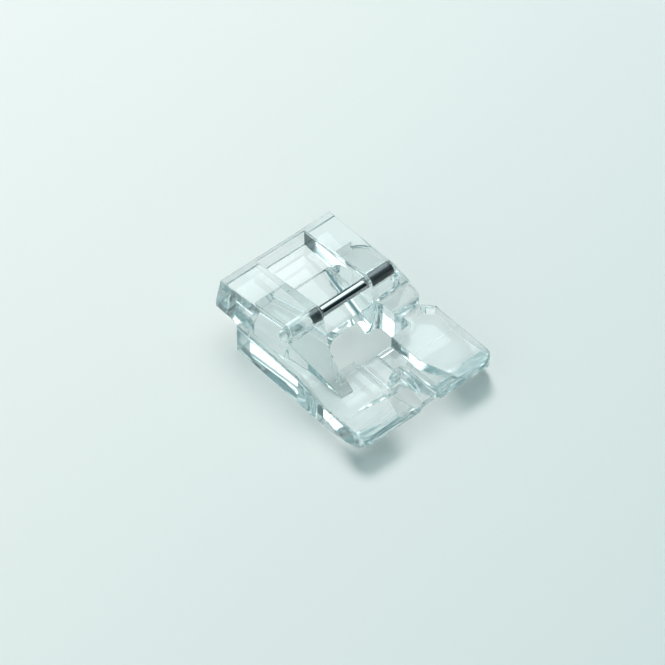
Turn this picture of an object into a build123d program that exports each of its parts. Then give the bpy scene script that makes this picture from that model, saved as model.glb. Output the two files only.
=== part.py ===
import os

from build123d import *

# Clear clip-on presser foot: one moulded body and one steel cross pin.
# Millimetres. +X is the operator's right, +Y is to the rear, +Z is up, and the sole stands on Z = 0.
# Y values are measured from the pin's axis until the pieces are written out.

# Overall size
foot_width = 27.5
front_y = -21.0
rear_y = 15.5
edge_radius = 0.4
broad_edge_radius = 1.0

# Sole block with its two shoulders
shoulder_width = 26.0
shoulder_top_z = 6.15
shoulder_front_y = -5.4
shoulder_rear_y = 9.4
shoulder_corner_radius = 2.6
heel_corner_radius = 2.6
cheek_foot_radius = 1.0

# Raised block with the two cheeks
block_top_left_x = -11.5
block_top_right_x = 9.7
block_front_y = -1.6
block_top_rear_z = 10.1
block_top_front_z = 12.2
block_underside_z = 5.0
block_nose_radius = 1.2

# Ankle pocket between the cheeks
pocket_width = 10.0
pocket_rear_wall = 0.8
pocket_rear_floor_z = 7.0

# Toe plate
toe_top_z = 4.4
toe_rear_overlap = 0.2
toe_front_corner_radius = 2.1
toe_rear_corner_cut = 1.7
toe_tip_thickness = 1.8
toe_edge_radius = 0.4
sole_rise_start_y = -11.0

# Needle opening
opening_width = 12.9
opening_front_y = -7.4
opening_corner_radius = 1.2
side_notch_width = 16.0

# Tunnel in the sole behind the needle
tunnel_front_width = 6.8
tunnel_rear_width = 13.0
tunnel_height = 4.3
tunnel_top_radius = 2.2

# Sunk channel between the toes, with the raised cord guide at its front
channel_width = 7.8
channel_floor_z = 2.0
channel_flare_start_y = -14.0
channel_flare_width = 13.6
channel_front_depth = 0.5
guide_rear_y = -13.8
guide_rear_top_z = 5.8
guide_front_top_z = 4.6
guide_root = 0.3
guide_rear_width = 5.2
guide_front_width = 6.8
guide_top_radius = 2.2
guide_rear_wall = 0.7
sole_groove_height = 1.0
sole_groove_radius = 0.8
groove_rear_width = 3.4
groove_rear_height = 3.4
groove_front_width = 5.2
groove_front_height = 3.6
groove_top_radius = 1.5

# Sloping gusset from the left cheek down to the left toe
gusset_top_z = 9.5
gusset_cheek_inner_x = -5.0
gusset_waist_y = -6.2
gusset_waist_x = -7.6
gusset_foot_y = -12.1
gusset_foot_inner_x = -8.2
gusset_foot_outer_x = -10.5
gusset_foot_height = 0.4

# Cross pin and its bore
pin_diameter = 1.9
pin_depth = 2.2
pin_left_seat = 1.2
pin_right_end_x = 10.0
pin_end_chamfer = 0.15
pin_press_clearance = 0.0

# Values worked out from the sizes above
middle_y = (front_y + rear_y) / 2
half_foot = foot_width / 2
half_shoulder = shoulder_width / 2
half_pocket = pocket_width / 2
half_channel = channel_width / 2
channel_front_z = toe_top_z - channel_front_depth
pin_height = block_top_front_z - pin_depth
above = block_top_front_z + toe_top_z
past = pin_diameter


def along_x(profile, x_from, x_to):
    return Pos(x_from, 0, 0) * extrude(Plane.YZ * profile, x_to - x_from, dir=(1, 0, 0))


def along_y(profile, y_from, y_to):
    return Pos(0, y_from, 0) * extrude(Plane.XZ * profile, y_to - y_from, dir=(0, 1, 0))


def across_y(profile, y):
    return Plane(origin=(0, y, 0), x_dir=(1, 0, 0), z_dir=(0, -1, 0)) * profile


def upright(profile, z_from, z_to):
    return Pos(0, 0, z_from) * extrude(profile, z_to - z_from, dir=(0, 0, 1))


def outline(*corners):
    return make_face(Polyline(*corners, close=True))


def rounded(face, radius, is_wanted):
    return fillet(face.vertices().filter_by(is_wanted), radius)


def arch(width, height, top_radius):
    """A tunnel's section in (x, z), open at the sole."""
    half = width / 2
    section = outline((-half, -past), (half, -past), (half, height), (-half, height))
    return rounded(section, top_radius, lambda corner: corner.Y > 0)


def sole_block():
    """The low block that carries the cheeks and reaches out to a shoulder on the right."""
    plan = outline(
        (-half_shoulder, shoulder_rear_y),
        (half_shoulder, shoulder_rear_y),
        (half_shoulder, shoulder_front_y),
        (-half_shoulder, shoulder_front_y),
    )
    plan = rounded(plan, shoulder_corner_radius, lambda corner: corner.Y < 0 and corner.X > 0)
    plan = rounded(plan, heel_corner_radius, lambda corner: corner.Y > 0 and corner.X > 0)
    block = upright(plan, 0, shoulder_top_z)
    top_edges = block.edges().group_by(Axis.Z)[-1]
    return fillet(top_edges.filter_by(lambda edge: edge.center().X > half_pocket), broad_edge_radius)


def left_flank():
    """The left side's long wall, whose top ramps down to the left toe."""
    side = outline(
        (shoulder_rear_y, 0),
        (shoulder_rear_y, shoulder_top_z),
        (shoulder_front_y, shoulder_top_z),
        (gusset_foot_y, toe_top_z),
        (sole_rise_start_y, 0),
    )
    wall = along_x(side, -half_foot, gusset_foot_inner_x)
    outer_edges = wall.edges().group_by(Axis.X)[0]
    top_edges = outer_edges.filter_by(lambda edge: edge.center().Z > toe_top_z)
    return fillet(top_edges, broad_edge_radius)


def cheek_section():
    """The raised block's section in (x, z), whose sides lean out to the shoulders."""
    return outline(
        (-half_shoulder, block_underside_z),
        (half_shoulder, block_underside_z),
        (half_shoulder, shoulder_top_z),
        (block_top_right_x, block_top_front_z),
        (block_top_left_x, block_top_front_z),
        (-half_shoulder, shoulder_top_z),
    )


def cheek_foot():
    """The hollow fillet between the right cheek's front and the shoulder below it."""
    fillet_y = block_front_y - cheek_foot_radius
    fillet_z = shoulder_top_z + cheek_foot_radius
    corner = outline(
        (fillet_y, shoulder_top_z),
        (block_front_y, shoulder_top_z),
        (block_front_y, fillet_z),
        (fillet_y, fillet_z),
    )
    strip = corner - Pos(fillet_y, fillet_z) * Circle(cheek_foot_radius)
    return along_x(strip, opening_width / 2, block_top_right_x)


def upper_block():
    """The raised block, whose rear overhangs the sole block."""
    side = outline(
        (block_front_y, block_underside_z),
        (rear_y, block_underside_z),
        (rear_y, block_top_rear_z),
        (block_front_y, block_top_front_z),
    )
    side = rounded(side, block_nose_radius, lambda corner: corner.X < 0 and corner.Y > shoulder_top_z)
    block = along_y(cheek_section(), block_front_y, rear_y) & along_x(side, -half_foot, half_foot)
    rear_edges = block.faces().sort_by(Axis.Y)[-1].edges()
    high_edges = block.edges().filter_by(lambda edge: edge.center().Z > block_top_rear_z)
    side_edges = high_edges.filter_by(lambda edge: abs(edge.center().X) > half_pocket)
    return fillet(rear_edges + side_edges, edge_radius)


def toe_plate():
    """The flat toe plate with rounded corners, whose sole rises to a thin tip."""
    toe_rear_y = shoulder_front_y + toe_rear_overlap
    plan = outline(
        (-half_foot, toe_rear_y),
        (half_foot, toe_rear_y),
        (half_foot, front_y),
        (-half_foot, front_y),
    )
    plan = rounded(plan, toe_front_corner_radius, lambda corner: corner.Y < sole_rise_start_y)
    rear_right = plan.vertices().filter_by(lambda corner: corner.Y > sole_rise_start_y and corner.X > 0)
    plan = chamfer(rear_right, toe_rear_corner_cut)
    tip_z = toe_top_z - toe_tip_thickness
    rise = TangentArc((sole_rise_start_y, 0), (front_y, tip_z), tangent=(-1, 0))
    side = make_face(
        Line((sole_rise_start_y, 0), (toe_rear_y, 0))
        + Line((toe_rear_y, 0), (toe_rear_y, toe_top_z))
        + Line((toe_rear_y, toe_top_z), (front_y, toe_top_z))
        + Line((front_y, toe_top_z), (front_y, tip_z))
        + rise
    )
    plate = upright(plan, 0, toe_top_z) & along_x(side, -half_foot, half_foot)
    return fillet(plate.edges().group_by(Axis.Z)[-1], toe_edge_radius)


def channel():
    """The space sunk into the toe plate's top, which flares towards the tip."""
    half_flare = channel_flare_width / 2
    plan = outline(
        (-half_channel, opening_front_y + past),
        (half_channel, opening_front_y + past),
        (half_channel, channel_flare_start_y),
        (half_flare, front_y - past),
        (-half_flare, front_y - past),
        (-half_channel, channel_flare_start_y),
    )
    side = outline(
        (opening_front_y + past, channel_floor_z),
        (channel_flare_start_y, channel_floor_z),
        (front_y, channel_front_z),
        (front_y - past, channel_front_z),
        (front_y - past, above),
        (opening_front_y + past, above),
    )
    return upright(plan, 0, above) & along_x(side, -half_foot, half_foot)


def cord_guide():
    """The round-topped guide in the channel's front half."""
    rear = arch(guide_rear_width, guide_rear_top_z, guide_top_radius)
    front = arch(guide_front_width, guide_front_top_z, guide_top_radius)
    guide = loft([across_y(rear, guide_rear_y), across_y(front, front_y)])
    side = outline(
        (guide_rear_y, channel_floor_z - guide_root),
        (guide_rear_y, above),
        (front_y, above),
        (front_y, channel_front_z - guide_root),
    )
    return guide & along_x(side, -half_foot, half_foot)


def guide_groove():
    """The cord's path in the sole: a shallow groove, then a tall one under the guide."""
    shallow = arch(groove_rear_width, sole_groove_height, sole_groove_radius)
    narrow = arch(groove_rear_width, groove_rear_height, groove_top_radius)
    wide = arch(groove_front_width, groove_front_height, groove_top_radius)
    tall = loft([across_y(narrow, guide_rear_y - guide_rear_wall), across_y(wide, front_y - past)])
    return along_y(shallow, front_y - past, opening_front_y + past) + tall


def needle_opening():
    """The opening round the needle, with a notch at each side in front of the shoulders."""
    half_opening = opening_width / 2
    half_notch = side_notch_width / 2
    plan = outline(
        (-half_opening, block_front_y),
        (half_opening, block_front_y),
        (half_opening, shoulder_front_y),
        (half_notch, shoulder_front_y),
        (half_notch, opening_front_y),
        (-half_notch, opening_front_y),
        (-half_notch, shoulder_front_y),
        (-half_opening, shoulder_front_y),
    )
    plan = rounded(plan, opening_corner_radius, lambda corner: corner.Y > shoulder_front_y / 2)
    return upright(plan, -past, shoulder_top_z + past)


def gusset():
    """The sloping rib in front of the left cheek."""
    lean = (block_top_left_x + half_shoulder) / (block_top_front_z - shoulder_top_z)
    cheek_outer_x = block_top_left_x - lean * (block_top_front_z - gusset_top_z)
    plan = outline(
        (cheek_outer_x, block_front_y + past),
        (gusset_cheek_inner_x, block_front_y + past),
        (gusset_cheek_inner_x, block_front_y),
        (gusset_waist_x, gusset_waist_y),
        (gusset_foot_inner_x, gusset_foot_y),
        (gusset_foot_outer_x, gusset_foot_y),
        (cheek_outer_x, block_front_y),
    )
    side = outline(
        (block_front_y + past, 0),
        (block_front_y + past, gusset_top_z),
        (block_front_y, gusset_top_z),
        (gusset_foot_y, toe_top_z + gusset_foot_height),
        (gusset_foot_y, toe_top_z),
        (sole_rise_start_y, 0),
    )
    return upright(plan, 0, above) & along_x(side, -half_foot, 0)


def ankle_pocket():
    """The pocket between the cheeks, open at the front, with a floor that rises to the rear."""
    pocket_rear_y = rear_y - pocket_rear_wall
    side = outline(
        (block_front_y - past, shoulder_top_z),
        (pocket_rear_y, pocket_rear_floor_z),
        (pocket_rear_y, above),
        (block_front_y - past, above),
    )
    return along_x(side, -half_pocket, half_pocket)


def sole_tunnel():
    """The tunnel behind the needle, which widens to the rear."""
    narrow = arch(tunnel_front_width, tunnel_height, tunnel_top_radius)
    wide = arch(tunnel_rear_width, tunnel_height, tunnel_top_radius)
    return loft([across_y(narrow, block_front_y - past), across_y(wide, shoulder_rear_y + past)])


def pin_bore():
    radius = (pin_diameter + pin_press_clearance) / 2
    bore = Plane.YZ * Circle(radius)
    return Pos(-half_foot, 0, pin_height) * extrude(bore, half_foot + pin_right_end_x, dir=(1, 0, 0))


def foot_body():
    """The moulded body: one piece of clear plastic."""
    body = sole_block() + upper_block() + toe_plate()
    body -= needle_opening()
    body += cheek_foot()
    body += left_flank()
    body += gusset()
    body -= channel()
    body += cord_guide()
    body -= guide_groove()
    body -= sole_tunnel()
    body -= ankle_pocket()
    body -= pin_bore()
    return body


def cross_pin():
    """The steel pin that the ankle's claw grips, pressed into both cheeks."""
    left_x = -half_pocket - pin_left_seat
    length = pin_right_end_x - left_x
    pin = Cylinder(pin_diameter / 2, length, align=(Align.CENTER, Align.CENTER, Align.MIN))
    pin = chamfer(pin.edges().filter_by(GeomType.CIRCLE), pin_end_chamfer)
    return Pos(left_x, 0, pin_height) * Rot(0, 90, 0) * pin


os.makedirs("parts", exist_ok=True)
for name, piece in {"foot_body": foot_body(), "cross_pin": cross_pin()}.items():
    placed = Pos(0, -middle_y, 0) * piece
    export_step(placed, f"parts/{name}.step")
    print(name, len(placed.solids()), round(placed.volume, 1), placed.bounding_box())
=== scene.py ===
import math

import bpy
from mathutils import Matrix, Vector


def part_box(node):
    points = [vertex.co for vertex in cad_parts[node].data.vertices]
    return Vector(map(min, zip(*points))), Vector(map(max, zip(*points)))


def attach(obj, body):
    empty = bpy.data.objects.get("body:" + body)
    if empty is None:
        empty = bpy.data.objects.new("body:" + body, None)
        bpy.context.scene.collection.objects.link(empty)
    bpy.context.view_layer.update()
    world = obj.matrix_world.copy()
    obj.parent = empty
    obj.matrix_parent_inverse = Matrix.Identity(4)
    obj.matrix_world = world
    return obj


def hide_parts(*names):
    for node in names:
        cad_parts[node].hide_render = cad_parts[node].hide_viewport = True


mm = 0.001
axisX = (1, 0, 0)
axisZ = (0, 0, 1)
toFront = (0, -1, 0)
lightBounces = {"most": 32, "glossy": 24}  # clear plastic needs long light paths

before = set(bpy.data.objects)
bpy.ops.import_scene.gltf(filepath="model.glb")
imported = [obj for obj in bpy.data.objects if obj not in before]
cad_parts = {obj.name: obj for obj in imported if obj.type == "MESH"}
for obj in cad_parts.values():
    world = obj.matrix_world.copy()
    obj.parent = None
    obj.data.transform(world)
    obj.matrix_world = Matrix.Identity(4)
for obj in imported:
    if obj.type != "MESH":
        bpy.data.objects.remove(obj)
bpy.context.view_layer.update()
scene = bpy.context.scene
scene.view_settings.view_transform = "Standard"
scene.cycles.max_bounces = lightBounces["most"]
scene.cycles.transmission_bounces = lightBounces["most"]
scene.cycles.glossy_bounces = lightBounces["glossy"]
print("stage: frame loaded")


# Shader maths as Python expressions
class Wire:
    def __init__(self, board, socket):
        self.board = board
        self.socket = socket

    def maths(self, operation, first, second=0.0):
        return self.board.node("ShaderNodeMath", {"operation": operation}, {0: first, 1: second})

    def __add__(self, other):
        return self.maths("ADD", self, other)

    def __sub__(self, other):
        return self.maths("SUBTRACT", self, other)

    def __rsub__(self, other):
        return self.maths("SUBTRACT", other, self)

    def __mul__(self, other):
        return self.maths("MULTIPLY", self, other)

    def __truediv__(self, other):
        return self.maths("DIVIDE", self, other)

    def __abs__(self):
        return self.maths("ABSOLUTE", self)

    __radd__ = __add__
    __rmul__ = __mul__

    def limited(self):
        return self.board.node("ShaderNodeClamp", {}, {"Value": self})

    def rise(self, low, high):  # 0 at low, 1 at high
        return ((self - low) / (high - low)).limited()

    def towards(self, direction):  # how far a point or direction goes along another
        sockets = {0: self, 1: Vector(direction).normalized()}
        return self.board.node("ShaderNodeVectorMath", {"operation": "DOT_PRODUCT"}, sockets, "Value")

    def colours(self, first, second):
        sockets = {"Factor": self, "A": first, "B": second}
        return self.board.node("ShaderNodeMix", {"data_type": "RGBA"}, sockets, "Result")


class Board:
    def __init__(self, tree):
        self.tree = tree

    def named(self, name):
        return self.tree.nodes[name]

    def node(self, kind, settings, sockets, output=0):
        made = self.tree.nodes.new(kind)
        for name, value in settings.items():
            setattr(made, name, value)
        self.feed(made, sockets)
        return Wire(self, made.outputs[output])

    def feed(self, made, sockets):
        for name, value in sockets.items():
            if isinstance(value, Wire):
                self.tree.links.new(value.socket, made.inputs[name])
            else:
                made.inputs[name].default_value = value

    def place(self):
        return self.node("ShaderNodeTexCoord", {}, {}, "Object")

    def stretched(self, scale):
        return self.node("ShaderNodeMapping", {}, {"Vector": self.place(), "Scale": scale})

    def noise(self, point, scale, detail, roughness):
        sockets = {"Vector": point, "Scale": scale, "Detail": detail, "Roughness": roughness}
        return self.node("ShaderNodeTexNoise", {}, sockets, "Fac")

    def bump(self, height, strength, distance, onto=None):
        sockets = {"Height": height, "Strength": strength, "Distance": distance}
        if onto:
            sockets["Normal"] = onto
        return self.node("ShaderNodeBump", {}, sockets)


def newMaterial(name):
    material = bpy.data.materials.new(name)
    material.use_nodes = True
    return material, Board(material.node_tree)


def rgba(colour):
    return (*colour, 1.0)


def heading(turn, lift):  # turn from the rear to the right, lift up from level
    level = math.cos(lift)
    return Vector((math.sin(turn) * level, math.cos(turn) * level, math.sin(lift)))


def pick(piece):
    bpy.ops.object.select_all(action="DESELECT")
    piece.select_set(True)
    bpy.context.view_layer.objects.active = piece


def startEdit(piece):
    pick(piece)
    bpy.ops.object.mode_set(mode="EDIT")
    bpy.ops.mesh.select_mode(type="EDGE")


def endEdit():
    bpy.ops.object.mode_set(mode="OBJECT")


def edgeSpan(mesh, edge):
    first, second = (mesh.vertices[i].co for i in edge.vertices)
    return second - first


def selectEdges(mesh, chosen):
    for part in (mesh.polygons, mesh.edges, mesh.vertices):
        part.foreach_set("select", [False] * len(part))
    for edge in chosen:
        edge.select = True
        for i in edge.vertices:
            mesh.vertices[i].select = True


def finishPiece(piece, material, smoothAngle, node):
    piece.data.materials.clear()
    piece.data.materials.append(material)
    pick(piece)
    bpy.ops.object.shade_smooth_by_angle(angle=smoothAngle)
    flatten = piece.modifiers.new("flatFaces", "WEIGHTED_NORMAL")  # wide faces stay flat at their edges
    flatten.keep_sharp = True
    bpy.ops.object.modifier_apply(modifier=flatten.name)
    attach(piece, "root")
    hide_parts(node)


# Moulded body: the whole clear foot, its long edges broken by the mould
mouldedBody = {
    "mergeDistance": 0.001 * mm,
    "flatAngle": math.radians(0.4),
    "edgeBreak": 0.15 * mm,
    "edgeSteps": 3,
    "edgeShortest": 3.5 * mm,  # shorter edges are rounded by softEdge alone
    "edgeAngle": math.radians(34),
    "tint": (0.985, 0.995, 0.995),
    "depthTint": (0.55, 0.84, 0.86),
    "depthDensity": 14.0,
    "ior": 1.49,
    "clarity": 0.985,
    "waveScale": 160.0,  # slow sink marks of the moulding
    "waveDetail": 2.0,
    "waveRoughness": 0.4,
    "waveStrength": 0.12,
    "waveDepth": 0.04 * mm,
    "softEdge": 0.2 * mm,
    "softSamples": 14,
    "hazeScale": 420.0,  # rubbed patches
    "hazeDetail": 4.0,
    "hazeRoughness": 0.6,
    "hazeRise": (0.45, 0.75),
    "roughHigh": 0.035,
    "shadowTint": (0.99, 1.0, 1.0),
    "levelRise": (0.35, 0.85),  # upright share of the normal, from a wall to a level face
    "levelPass": 0.98,  # share of lamp light that goes straight on through a face
    "wallPass": 0.95,
    "tipLevelPass": 0.05,  # the same at the outer toe tips, which bend the light away
    "tipWallPass": 0.0,
    "tipReach": (12.0 * mm, 16.0 * mm),  # from the middle to the front
    "tipSide": (4.0 * mm, 8.0 * mm),  # from the middle to either side
}


def lampPass(board, look):
    normal = board.node("ShaderNodeNewGeometry", {}, {}, "Normal")
    inside = board.node("ShaderNodeNewGeometry", {}, {}, "Backfacing")
    level = abs(normal.towards(axisZ)).rise(*look["levelRise"])
    forward = board.place().towards(toFront).rise(*look["tipReach"])
    outward = abs(board.place().towards(axisX)).rise(*look["tipSide"])
    tip = forward * outward * (1 - inside)
    wall = look["wallPass"] + (look["tipWallPass"] - look["wallPass"]) * tip
    flat = look["levelPass"] + (look["tipLevelPass"] - look["levelPass"]) * tip
    return wall + (flat - wall) * level


def clearPlastic(look):
    material, board = newMaterial("clearPlastic")
    shader = board.named("Principled BSDF")
    wave = board.noise(board.place(), look["waveScale"], look["waveDetail"], look["waveRoughness"])
    haze = board.noise(board.place(), look["hazeScale"], look["hazeDetail"], look["hazeRoughness"])
    soft = board.node("ShaderNodeBevel", {"samples": look["softSamples"]}, {"Radius": look["softEdge"]})
    board.feed(shader, {
        "Base Color": rgba(look["tint"]),
        "Roughness": haze.rise(*look["hazeRise"]) * look["roughHigh"],
        "IOR": look["ior"],
        "Transmission Weight": look["clarity"],
        "Normal": board.bump(wave, look["waveStrength"], look["waveDepth"], soft),
    })
    shadowRay = board.node("ShaderNodeLightPath", {}, {}, "Is Shadow Ray")
    surface = Wire(board, shader.outputs["BSDF"])
    through = board.node("ShaderNodeBsdfTransparent", {}, {"Color": rgba(look["shadowTint"])})
    layers = {"Fac": lampPass(board, look) * shadowRay, 1: surface, 2: through}
    depth = {"Color": rgba(look["depthTint"]), "Density": look["depthDensity"]}
    board.feed(board.named("Material Output"), {
        "Surface": board.node("ShaderNodeMixShader", {}, layers),
        "Volume": board.node("ShaderNodeVolumeAbsorption", {}, depth),
    })
    return material


def buildMouldedBody(look):
    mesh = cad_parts["foot_body"].data.copy()
    piece = bpy.data.objects.new("mouldedBody", mesh)
    scene.collection.objects.link(piece)
    startEdit(piece)
    bpy.ops.mesh.select_all(action="SELECT")
    bpy.ops.mesh.remove_doubles(threshold=look["mergeDistance"])
    bpy.ops.mesh.dissolve_limited(angle_limit=look["flatAngle"], use_dissolve_boundaries=False)
    bpy.ops.mesh.select_all(action="DESELECT")
    bpy.ops.mesh.edges_select_sharp(sharpness=look["edgeAngle"])
    endEdit()
    sharp = [edge for edge in mesh.edges if edge.select]
    selectEdges(mesh, [edge for edge in sharp if edgeSpan(mesh, edge).length > look["edgeShortest"]])
    startEdit(piece)
    bpy.ops.mesh.bevel(offset=look["edgeBreak"], segments=look["edgeSteps"], affect="EDGES")
    endEdit()
    finishPiece(piece, clearPlastic(look), look["edgeAngle"], "foot_body")


# Cross pin: a turned rod with broken ends, standing just clear of its bore
crossPin = {
    "sides": 128,
    "boreGap": 0.012 * mm,
    "rimSpan": 0.01 * mm,  # an edge that runs along the pin by less is on an end's rim
    "endBreak": 0.22 * mm,
    "endSteps": 3,
    "smoothAngle": math.radians(30),
    "pale": (0.46, 0.47, 0.48),
    "dark": (0.38, 0.39, 0.40),
    "darkRise": (0.35, 0.7),
    "paintedSeatShade": (0.02, 0.03, 0.04),  # painted shade: the ends inside the cheeks are coloured nearly black, standing in for the dark reflections they show through the plastic
    "seat": (5.0 * mm, 5.2 * mm),  # where the cheeks begin, from the middle to either side
    "streakScale": 900.0,
    "streakStretch": (0.05, 1.0, 1.0),
    "streakDetail": 4.0,
    "streakRoughness": 0.6,
    "roughLow": 0.04,
    "roughHigh": 0.12,
    "roughRise": (0.3, 0.7),
    "turnedStrength": 0.1,
    "turnedDepth": 0.01 * mm,
}


def polishedSteel(look):
    material, board = newMaterial("polishedSteel")
    along = board.stretched(look["streakStretch"])
    streak = board.noise(along, look["streakScale"], look["streakDetail"], look["streakRoughness"])
    steel = streak.rise(*look["darkRise"]).colours(rgba(look["pale"]), rgba(look["dark"]))
    # painted shade mask: the ends inside the cheeks take the nearly black colour
    paintedSeatShade = abs(board.place().towards(axisX)).rise(*look["seat"])
    rougher = streak.rise(*look["roughRise"])
    board.feed(board.named("Principled BSDF"), {
        "Base Color": paintedSeatShade.colours(steel, rgba(look["paintedSeatShade"])),
        "Roughness": look["roughLow"] + (look["roughHigh"] - look["roughLow"]) * rougher,
        "Metallic": 1.0,
        "Normal": board.bump(streak, look["turnedStrength"], look["turnedDepth"]),
    })
    return material


def buildCrossPin(look):
    low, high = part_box("cross_pin")
    bpy.ops.object.select_all(action="DESELECT")
    bpy.ops.mesh.primitive_cylinder_add(
        vertices=look["sides"],
        radius=(high.z - low.z) / 2 - look["boreGap"],
        depth=high.x - low.x,
        location=(low + high) / 2,
        rotation=(0, math.radians(90), 0),
    )
    piece = bpy.context.active_object
    piece.name = "crossPin"
    bpy.ops.object.transform_apply(location=True, rotation=True, scale=True)
    mesh = piece.data
    selectEdges(mesh, [edge for edge in mesh.edges if abs(edgeSpan(mesh, edge).x) < look["rimSpan"]])
    startEdit(piece)
    bpy.ops.mesh.bevel(offset=look["endBreak"], segments=look["endSteps"], affect="EDGES")
    endEdit()
    finishPiece(piece, polishedSteel(look), look["smoothAngle"], "cross_pin")


buildMouldedBody(mouldedBody)
buildCrossPin(crossPin)
print("stage: pieces built")


# Paper floor, with painted shade: a little darker and greener towards the front right, standing in for
# the light falling off there
paperFloor = {
    "width": 1.2,
    "drop": 0.02 * mm,
    "pale": (0.80, 0.80, 0.785),
    "paintedShade": (0.635, 0.685, 0.68),
    "paintedShadeTowards": (0.55, -0.83, 0.0),
    "fade": 0.08,
    "roughness": 0.55,
    "shine": 0.2,
    "grainScale": 2600.0,
    "grainDetail": 3.0,
    "grainRoughness": 0.6,
    "grainStrength": 0.05,
    "grainDepth": 0.02 * mm,
}


def palePaper(look):
    material, board = newMaterial("palePaper")
    grain = board.noise(board.place(), look["grainScale"], look["grainDetail"], look["grainRoughness"])
    # painted shade: the floor's colour darkens towards the front right
    share = board.place().towards(look["paintedShadeTowards"]).rise(-look["fade"], look["fade"])
    board.feed(board.named("Principled BSDF"), {
        "Base Color": share.colours(rgba(look["pale"]), rgba(look["paintedShade"])),
        "Roughness": look["roughness"],
        "Specular IOR Level": look["shine"],
        "Normal": board.bump(grain, look["grainStrength"], look["grainDepth"]),
    })
    return material


def layPaperFloor(look):
    bpy.ops.object.select_all(action="DESELECT")
    bpy.ops.mesh.primitive_plane_add(size=look["width"], location=(0, 0, -look["drop"]))
    floor = bpy.context.active_object
    floor.name = "paperFloor"
    floor.data.materials.append(palePaper(look))


# Key lamp, from behind on the right
keyLamp = {
    "turn": math.radians(36),
    "lift": math.radians(46),
    "far": 1.2,
    "size": 0.42,
    "power": 9.5,
    "colour": (1.0, 0.93, 0.91),
}


def hangKeyLamp(look):
    side = heading(look["turn"], look["lift"])
    aim = side.to_track_quat("Z", "Y").to_euler()
    bpy.ops.object.light_add(type="AREA", location=side * look["far"], rotation=aim)
    lamp = bpy.context.active_object
    lamp.name = "keyLamp"
    lamp.data.shape = "DISK"
    lamp.data.size = look["size"]
    lamp.data.energy = look["power"]
    lamp.data.color = look["colour"]
    lamp.visible_glossy = False  # the plastic and the pin show the room's windows instead
    lamp.visible_transmission = False


# Room: dark green walls and ceiling, a pale left wall, a nearly black front and two bright windows
room = {
    "wall": (0.07, 0.17, 0.19),
    "ceiling": (0.18, 0.34, 0.35),
    "ceilingRise": (0.15, 0.55),
    "leftWall": {"colour": (0.85, 0.93, 0.93), "towards": (-1.0, 0.1, 0.12), "rise": (0.55, 0.8)},
    "darkFront": {"colour": (0.02, 0.035, 0.04), "towards": (0.35, -0.82, 0.42), "rise": (0.78, 0.92)},
    "skylight": {"colour": (2.1, 2.4, 2.4), "towards": (0.437, 0.22, 0.87), "rise": (0.90, 0.95)},
    "window": {"colour": (2.5, 2.85, 2.85), "towards": (0.437, 0.50, 0.7466), "rise": (0.955, 0.985)},
}


def buildRoom(look):
    world = bpy.data.worlds.new("room")
    world.use_nodes = True
    scene.world = world
    board = Board(world.node_tree)
    direction = board.node("ShaderNodeTexCoord", {}, {}, "Generated")
    height = direction.towards(axisZ).rise(*look["ceilingRise"])
    shade = height.colours(rgba(look["wall"]), rgba(look["ceiling"]))
    for name in ("leftWall", "darkFront", "skylight", "window"):
        patch = look[name]
        share = direction.towards(patch["towards"]).rise(*patch["rise"])
        shade = share.colours(shade, rgba(patch["colour"]))
    board.feed(board.named("Background"), {"Color": shade})


layPaperFloor(paperFloor)
hangKeyLamp(keyLamp)
buildRoom(room)
print("stage: floor and light set")


# Camera at the photo's viewing angle
photoView = {
    "azimuth": math.radians(41.06),
    "elevation": math.radians(48.3),
    "pixelsPerMm": 6.4,
    "focalPixels": 4500.0,
    "framePixels": 665.0,
    "anchor": (-5.0, 2.75, 10.0),  # left end of the pin's free length, in mm
    "anchorPixel": (317.5, 314.0),
    "sensorWidth": 36.0,
    "clipStart": 0.01,
    "clipEnd": 5.0,
}


def placeCamera(look):
    turn = look["azimuth"]
    forward = heading(turn, -look["elevation"])
    right = Vector((math.cos(turn), -math.sin(turn), 0))
    up = right.cross(forward)
    middle = look["framePixels"] / 2
    sideways = (look["anchorPixel"][0] - middle) / look["pixelsPerMm"]
    upwards = (middle - look["anchorPixel"][1]) / look["pixelsPerMm"]
    distance = look["focalPixels"] / look["pixelsPerMm"]
    spot = Vector(look["anchor"]) - right * sideways - up * upwards - forward * distance
    aim = Matrix((right, up, -forward)).transposed().to_4x4()
    bpy.ops.object.camera_add()
    camera = bpy.context.active_object
    camera.name = "photoCamera"
    camera.matrix_world = Matrix.Translation(spot * mm) @ aim
    camera.data.sensor_width = look["sensorWidth"]
    camera.data.lens = look["sensorWidth"] * look["focalPixels"] / look["framePixels"]
    camera.data.clip_start = look["clipStart"]
    camera.data.clip_end = look["clipEnd"]
    scene.camera = camera


placeCamera(photoView)
print("stage: camera placed")
